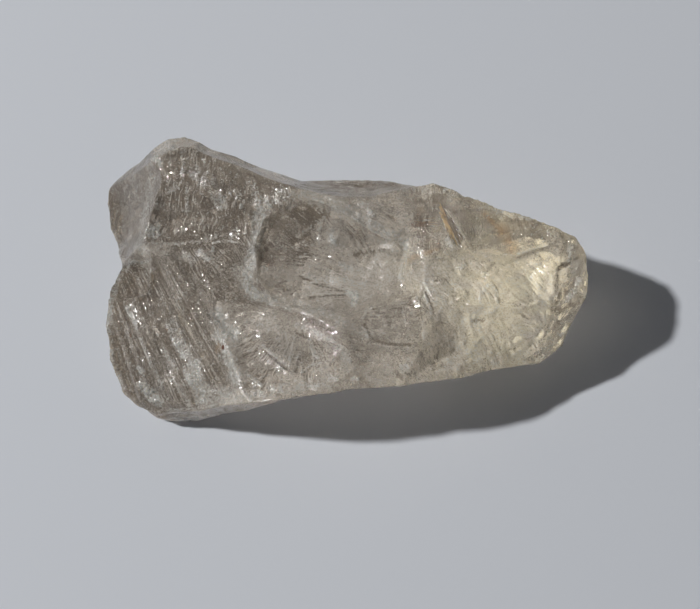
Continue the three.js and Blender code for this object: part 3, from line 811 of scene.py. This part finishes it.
# Ridges have more frost, and less smoke as a painted highlight; dents have more smoke as painted
# shade.
frost_and_glints = crushed_and_glints * (0.80 + 0.4 * gritty(spots)) + 0.20 * ramp(curl, 0.08, 0.30)
frost_and_glints = np.clip(frost_and_glints, 0, 1)
stepped = across(spots, STEPPED, STEPPED_BORDER) * top
# Painted shade: the hollow's west wall, which faces away from the lamp, is darkened.
SHADED_HOLLOW_SIDE = [(-13.3, 5.3), (-12.0, 8.7), (-9.0, 9.8), (-5.8, 10.5), (-2.2, 9.2), (-2.9, 6.1),
             (-3.9, 2.7), (-6.5, 1.4), (-9.1, 0.5), (-11.7, 0.6), (-13.1, 2.1)]
smoke_and_shade = said["smoke_and_shade"] + SMOKE_ON_FLANKS * flank + marked(spots, SMOKE_AND_SHADE_MARKS) * top
smoke_and_shade += 0.9 * marked(spots, SMOKE_AND_SHADE_MARKS, narrow=True) * top
smoke_and_shade += (PAINTED_SHADE_IN_HOLLOW + 0.3 * swell(spots, 2.0, 156)) * across(
    spots + 0.9 * said["drift"], SHADED_HOLLOW_SIDE, 1.6) * top
smoke_and_shade += 0.12 * swell(spots, 3.2, 150) - 0.08 * streak * top - 0.6 * crushed_and_glints + SMOKE_ALL_OVER
# Painted shade on the treads' risers and a painted highlight on the ridges; then painted shade in
# the dents.
smoke_and_shade += SMOKE_AND_SHADE_ON_TREADS * stepped * treads(spots, said["wide"])[1] - 0.25 * ramp(curl, 0.04, 0.25)
smoke_and_shade += 0.30 * ramp(-curl, 0.05, 0.30)
smoke_and_shade = np.clip(smoke_and_shade, 0, 1) * (1 - 0.8 * under)
amber = ramp(spots[:, 0] + 3 * swell(spots, 8, 151), 4, 26)
amber *= 0.7 + 0.6 * swell(spots + 0.4 * said["drift"], 1.6, 152)

# Iron that has crept in along cracks and layers: half width, strength, line.
RUSTY = [
    (0.45, 0.55, (23.5, 8.6), (24.6, 7.4), (25.4, 6.4)),
    (1.2, 0.45, (25.9, 6.4), (27.0, 4.6), (27.8, 2.5)),
    (0.6, 0.35, (-19.3, -12.5), (-19.4, -13.2)),
    (0.35, 0.40, (10.5, 1.0), (12.8, 2.0), (15.6, 2.7)),
]
LOWER_LAYER = [(1.3, 0.35, (-31.5, -22.0), (-26.0, -23.8), (-17.0, -23.2), (-10.0, -22.6))]
rust = np.maximum(marked(spots, RUSTY) * top, marked(spots, LOWER_LAYER) * flank)
rust *= 0.8 + 0.5 * swell(spots, 0.7, 155)


def note(name, value):
    # Leaves a value at each point of the stone for the looks to read.
    if value.ndim == 1:
        skin.attributes.new(name, "FLOAT", "POINT").data.foreach_set("value", value)
    else:
        skin.attributes.new(name, "FLOAT_VECTOR", "POINT").data.foreach_set("vector", value.ravel())


# The frost attribute also carries white painted in for glints, and the smoke attribute painted
# shade.
note("frost_and_glints", frost_and_glints)
note("smoke_and_shade", smoke_and_shade)
note("amber", amber)
note("rust", np.clip(rust, 0, 1))
# How strongly the finest hackles show, and the mm across and along them.
worked = ramp(swell(spots, 2.6, 170) + 0.4 * swell(spots, 1.0, 171), -0.4, 0.5)
worked *= 1 - 0.6 * across(spots, BREAKS["lobe"]["outline"], BORDER)
note("worked", worked * (0.5 + 0.5 * said["begun"]))
wavy = 0.45 * swell(spots, 1.7, 172) * (1 - stepped)
long = said["long"] * (1 - 0.8 * stepped)
note("grain", np.stack([said["wide"] + wavy, long, 0 * flank], axis=1))


QUARTZ_IOR = 1.544
HACKLES_PER_MM = (3.3, 0.42, 1)  # across and along them
GRAINS_PER_M = 3700.0
CRUMBS_PER_M = 2300.0
BUMP_M = 0.00018
DEEP_COLOUR = (0.86, 0.80, 0.70, 1)
DEEP_DENSITY = 14.0


def quartz(name, transmission, roughness, rougher, whiter):
    # One kind of quartz; frost adds rougher to its roughness, and whiter is
    # the frost that it has everywhere.
    look = bpy.data.materials.new(name)
    look.use_nodes = True
    tree = look.node_tree
    nodes, links = tree.nodes, tree.links
    shader = nodes["Principled BSDF"]
    shader.inputs["Transmission Weight"].default_value = transmission
    shader.inputs["IOR"].default_value = QUARTZ_IOR

    def read(attribute, output="Fac"):
        node = nodes.new("ShaderNodeAttribute")
        node.attribute_name = attribute
        return node.outputs[output]

    def blend(share, first, second):
        node = nodes.new("ShaderNodeMix")
        node.data_type = "RGBA"
        links.new(share, node.inputs["Factor"])
        for socket, colour in ((node.inputs["A"], first), (node.inputs["B"], second)):
            if isinstance(colour, tuple):
                socket.default_value = colour
            else:
                links.new(colour, socket)
        return node.outputs["Result"]

    def sums(operation, first, second, third=0.0):
        node = nodes.new("ShaderNodeMath")
        node.operation = operation
        for socket, value in zip(node.inputs, (first, second, third)):
            if isinstance(value, float):
                socket.default_value = value
            else:
                links.new(value, socket)
        return node.outputs["Value"]

    def noise(place, scale, detail):
        node = nodes.new("ShaderNodeTexNoise")
        node.inputs["Scale"].default_value = scale
        node.inputs["Detail"].default_value = detail
        links.new(place, node.inputs["Vector"])
        return node.outputs["Fac"]

    frost_and_glint_cover = sums("MULTIPLY_ADD", read("frost_and_glints"), 1.0 - whiter, whiter)
    worked = read("worked")

    # Fine hackles that follow the break, and grains and crumbs all over it.
    fine = nodes.new("ShaderNodeMapping")
    fine.inputs["Scale"].default_value = HACKLES_PER_MM
    links.new(read("grain", "Vector"), fine.inputs["Vector"])
    hackle = noise(fine.outputs["Vector"], 1.0, 2.0)
    place = nodes.new("ShaderNodeTexCoord").outputs["Object"]
    grains = noise(place, GRAINS_PER_M, 2.0)
    fleck = sums("MULTIPLY", sums("SUBTRACT", hackle, 0.5), worked)
    speck = sums("SUBTRACT", grains, 0.5)
    crumb = sums("SUBTRACT", noise(place, CRUMBS_PER_M, 1.0), 0.5)

    # They break up the smoke, and the white of the frost.
    body = blend(read("amber"), CLEAR, AMBER)
    # Smoke and painted shade together darken the body colour.
    depth = read("smoke_and_shade")
    share = sums("MULTIPLY", fleck, sums("MULTIPLY_ADD", depth, -5.0, -1.2))
    smoky_and_shaded = sums("ADD", share, depth)
    body = blend(sums("MULTIPLY_ADD", speck, -1.8, smoky_and_shaded), body, SMOKE_AND_SHADE_COLOUR)
    body = blend(read("rust"), body, RUST)
    # The white of the frost, part of it painted in for glints.
    cover = nodes.new("ShaderNodeMapRange")
    cover.inputs["From Min"].default_value = 0.30
    cover.inputs["From Max"].default_value = 0.80
    cover.inputs["To Max"].default_value = 0.90
    streaky = sums("MULTIPLY_ADD", fleck, 1.5, frost_and_glint_cover)
    streaky = sums("MULTIPLY_ADD", crumb, 2.2, streaky)
    links.new(sums("MULTIPLY_ADD", speck, 3.0, streaky), cover.inputs["Value"])
    links.new(blend(cover.outputs["Result"], body, FROST_AND_GLINT_WHITE), shader.inputs["Base Color"])
    links.new(sums("MULTIPLY_ADD", read("frost_and_glints"), rougher, roughness), shader.inputs["Roughness"])

    streaks, pits = nodes.new("ShaderNodeBump"), nodes.new("ShaderNodeBump")
    pitted = sums("MULTIPLY_ADD", frost_and_glint_cover, 0.8, 0.2)
    for node, height, strength in ((streaks, hackle, worked), (pits, grains, pitted)):
        node.inputs["Distance"].default_value = BUMP_M
        links.new(height, node.inputs["Height"])
        links.new(strength, node.inputs["Strength"])
    links.new(streaks.outputs["Normal"], pits.inputs["Normal"])
    links.new(pits.outputs["Normal"], shader.inputs["Normal"])

    smoke_depth = nodes.new("ShaderNodeVolumeAbsorption")
    smoke_depth.inputs["Color"].default_value = DEEP_COLOUR
    smoke_depth.inputs["Density"].default_value = DEEP_DENSITY
    links.new(smoke_depth.outputs["Volume"], nodes["Material Output"].inputs["Volume"])
    return look


# Name, transmission, roughness, rougher and whiter, slot by slot.
KINDS = [
    ("smoky quartz", 0.70, 0.03, 0.34, 0.0),
    ("crushed quartz", 0.60, 0.05, 0.10, 0.30),
    ("veiled quartz", 0.58, 0.04, 0.30, 0.0),
    ("glassy quartz", 0.84, 0.02, 0.30, 0.0),
]
SMOKY_KIND, CRUSHED_KIND, VEILED_KIND, GLASSY_KIND = range(4)
skin.materials.clear()
for row in KINDS:
    skin.materials.append(quartz(*row))

# Veils of tiny bubbles cloud the east face, the light side of the hollow and a
# strip of the front.  The window, the blunt end and the underside are as clear
# as glass.  Half width, strength, line.
VEILS = [
    (5.0, 1.0, (14.0, -3.0), (22.0, -8.0), (30.0, -6.0)),
    (4.5, 0.9, (20.0, -13.5), (26.0, -12.5), (29.0, -11.0)),
    (3.6, 1.0, (-1.5, -3.2), (3.0, -1.5), (7.5, 0.0)),
    (2.5, 0.6, (-12.0, -10.0), (-7.0, -15.0)),
]
GLASSY = [
    (2.0, 1.0, (16.0, 10.5), (18.0, 7.0), (20.0, 3.0)),
    (3.0, 1.0, (14.0, 8.5), (19.0, 7.0), (24.0, 6.0), (30.0, 4.5)),
    (3.0, 1.0, (37.5, 4.0), (38.5, 0.0), (38.0, -6.0), (36.0, -10.5)),
]
corner = np.empty(len(skin.polygons) * 3, dtype=np.int32)
skin.polygons.foreach_get("vertices", corner)
corner = corner.reshape(-1, 3)
centre = spots[corner].mean(axis=1)
fine = swell(centre, 0.33, 160)
coarse = swell(centre, 0.8, 161)
kind = np.full(len(centre), SMOKY_KIND, dtype=np.int32)
wander = 0.35 * swell(centre, 2.2, 162)
kind[marked(centre, VEILS) + 1.6 * wander + 0.35 * coarse + 0.25 * fine > 0.5] = VEILED_KIND
kind[marked(centre, GLASSY) + wander > 0.6] = GLASSY_KIND
kind[under[corner].mean(axis=1) > 0.5] = GLASSY_KIND
kind[frost_and_glints[corner].mean(axis=1) + 0.9 * fine + 0.4 * coarse > 0.75] = CRUSHED_KIND
skin.polygons.foreach_set("material_index", kind)

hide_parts("quartz_stone")
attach(stone, "root")


# ----------------------------------------------------------- rutile needles
# Sheaves of golden, dark and pale rutile needles sealed in the clear window,
# just under its surface.  Each is a fine six-sided rod, bent with its sheaf.

HIGH_ABOVE = 40  # well over the stone
ROD_SIDES = 6
BEND_STEPS = 10
SHEAF_DEPTH = 0.22  # how far a sheaf spreads up and down
BEGINS = (0.0, 0.4)  # each needle's ends, as shares of the sheaf's length
ENDS = (0.55, 1.0)
COVER = 0.12  # no needle has less quartz than this over it

roof = BVHTree.FromPolygons([v.co for v in skin.vertices], [p.vertices for p in skin.polygons])


def beneath(x, y, depth):
    # The place so many mm below the top of the stone.
    place = roof.ray_cast(Vector((x, y, HIGH_ABOVE)) * MM, Vector((0, 0, -1)))[0]
    return Vector((x, y, place.z / MM - depth))


def sheaf_tree():
    # Sets a number of thin rods along a bent line, each a little off it.
    tree = bpy.data.node_groups.new("sheaf of needles", "GeometryNodeTree")
    tree.interface.new_socket("Geometry", in_out="OUTPUT", socket_type="NodeSocketGeometry")
    for name, sort in (("Start", "Vector"), ("Middle", "Vector"), ("End", "Vector"),
                       ("Spread", "Vector"), ("Needles", "Int"), ("Radius", "Float"),
                       ("Seed", "Int"), ("Material", "Material")):
        tree.interface.new_socket(name, in_out="INPUT", socket_type="NodeSocket" + sort)
    nodes, links = tree.nodes, tree.links

    def add(sort):
        return nodes.new("GeometryNode" + sort)

    given = nodes.new("NodeGroupInput").outputs
    path = add("CurveQuadraticBezier")
    path.inputs["Resolution"].default_value = BEND_STEPS
    for name in ("Start", "Middle", "End"):
        links.new(given[name], path.inputs[name])
    copies = add("DuplicateElements")
    copies.domain = "SPLINE"
    links.new(path.outputs["Curve"], copies.inputs["Geometry"])
    links.new(given["Needles"], copies.inputs["Amount"])

    def chance(sort, low, high, shift):
        # A random value of its own for each needle.
        node = nodes.new("FunctionNodeRandomValue")
        node.data_type = sort
        live = [s for s in node.inputs if s.enabled]
        live[0].default_value = low
        live[1].default_value = high
        seed = nodes.new("ShaderNodeMath")
        seed.inputs[1].default_value = shift
        links.new(given["Seed"], seed.inputs[0])
        links.new(seed.outputs[0], node.inputs["Seed"])
        links.new(copies.outputs["Duplicate Index"], node.inputs["ID"])
        return [s for s in node.outputs if s.enabled][0]

    # Each needle leans from one place in the sheaf to another.
    along = add("SplineParameter")
    lean = nodes.new("ShaderNodeMix")
    lean.data_type = "VECTOR"
    links.new(along.outputs["Factor"], lean.inputs["Factor"])
    links.new(chance("FLOAT_VECTOR", (-1, -1, -1), (1, 1, 1), 0), lean.inputs[4])
    links.new(chance("FLOAT_VECTOR", (-1, -1, -1), (1, 1, 1), 1), lean.inputs[5])
    aside = nodes.new("ShaderNodeVectorMath")
    aside.operation = "MULTIPLY"
    links.new(lean.outputs[1], aside.inputs[0])
    links.new(given["Spread"], aside.inputs[1])
    spread = add("SetPosition")
    links.new(copies.outputs["Geometry"], spread.inputs["Geometry"])
    links.new(aside.outputs["Vector"], spread.inputs["Offset"])
    # It is cut short at both ends.
    trim = add("TrimCurve")
    trim.mode = "FACTOR"
    links.new(spread.outputs["Geometry"], trim.inputs["Curve"])
    links.new(chance("FLOAT", *BEGINS, 2), trim.inputs[2])
    links.new(chance("FLOAT", *ENDS, 3), trim.inputs[3])
    rod = add("CurvePrimitiveCircle")
    rod.inputs["Resolution"].default_value = ROD_SIDES
    links.new(given["Radius"], rod.inputs["Radius"])
    mesh = add("CurveToMesh")
    mesh.inputs["Fill Caps"].default_value = True
    links.new(trim.outputs["Curve"], mesh.inputs["Curve"])
    links.new(rod.outputs["Curve"], mesh.inputs["Profile Curve"])
    real = add("RealizeInstances")
    links.new(mesh.outputs["Mesh"], real.inputs["Geometry"])
    paint = add("SetMaterial")
    links.new(real.outputs["Geometry"], paint.inputs["Geometry"])
    links.new(given["Material"], paint.inputs["Material"])
    links.new(paint.outputs["Geometry"], nodes.new("NodeGroupOutput").inputs["Geometry"])
    return tree


def plain(name, colour, roughness, metallic=0.0):
    look = bpy.data.materials.new(name)
    look.use_nodes = True
    shader = look.node_tree.nodes["Principled BSDF"]
    shader.inputs["Base Color"].default_value = colour
    shader.inputs["Roughness"].default_value = roughness
    shader.inputs["Metallic"].default_value = metallic
    return look


golden = plain("golden rutile", (0.62, 0.46, 0.22, 1), 0.3, 0.2)
dark = plain("dark rutile", (0.13, 0.08, 0.04, 1), 0.3)
pale = plain("pale rutile", (0.60, 0.58, 0.52, 1), 0.3, 0.2)
brown = plain("brown rutile", (0.42, 0.30, 0.22, 1), 0.3, 0.2)
sheaf = sheaf_tree()
sockets = {item.name: item.identifier for item in sheaf.interface.items_tree}
# Name, start, middle and end in plan, depth, spread, needles, radius, look.
SHEAVES = [
    ("golden_needles", (15.9, 10.2), (17.6, 7.0), (19.4, 3.2), 0.28, 0.60, 22, 0.070, golden),
    ("dark_needles", (16.4, 10.2), (18.1, 7.0), (19.9, 3.3), 0.26, 0.45, 14, 0.075, dark),
    ("pale_needles", (17.1, 10.0), (18.9, 7.2), (20.7, 3.8), 0.28, 0.50, 10, 0.065, pale),
    ("upright_needles", (22.2, 9.0), (21.9, 6.0), (21.3, 3.0), 0.4, 1.6, 16, 0.045, pale),
    ("level_needles", (10.2, 7.2), (13.0, 7.6), (16.0, 7.5), 0.4, 0.7, 12, 0.045, brown),
]
for number, (name, start, middle, end, depth, spread, needles, radius, look) in enumerate(SHEAVES):
    piece = placed(name, bpy.data.meshes.new(name))
    grow = piece.modifiers.new("needles", "NODES")
    grow.node_group = sheaf
    for key, value in (("Start", beneath(*start, depth) * MM),
                       ("Middle", beneath(*middle, depth) * MM),
                       ("End", beneath(*end, depth) * MM),
                       ("Spread", Vector((spread, spread, SHEAF_DEPTH)) * MM),
                       ("Needles", needles), ("Radius", radius * MM),
                       ("Seed", 10 * number + 3), ("Material", look)):
        grow[sockets[key]] = value
    rods = finished(piece)
    rods.name = name
    rods.shade_smooth()
    for point in rods.vertices:
        highest = beneath(point.co.x / MM, point.co.y / MM, COVER) * MM
        point.co.z = min(point.co.z, highest.z)
    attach(piece, "root")


# --------------------------------------------------------------- rust speck
# One grain of iron ore laid bare at the foot of the stepped block, with a
# stain beside it; a small lump, longer than it is wide.

SPECK = (-18.6, -12.85)
SPECK_HALF = (0.24, 0.46, 0.16)
SPECK_SUNK = 0.04  # how deep its middle lies
speck_shape = bmesh.new()
bmesh.ops.create_icosphere(speck_shape, subdivisions=3, radius=1.0)
for vert in speck_shape.verts:
    uneven = 1 + 0.25 * float(swell(np.array([vert.co[:]]), 0.7, 180)[0])
    vert.co = Vector([half * part for half, part in zip(SPECK_HALF, vert.co)]) * uneven
    vert.co = (vert.co + beneath(*SPECK, SPECK_SUNK)) * MM
speck_mesh = bpy.data.meshes.new("rust speck")
speck_shape.to_mesh(speck_mesh)
speck_shape.free()
speck_mesh.materials.append(plain("iron ore", (0.12, 0.035, 0.015, 1), 0.6))
speck_mesh.shade_smooth()
speck = placed("rust_speck", speck_mesh)
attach(speck, "root")
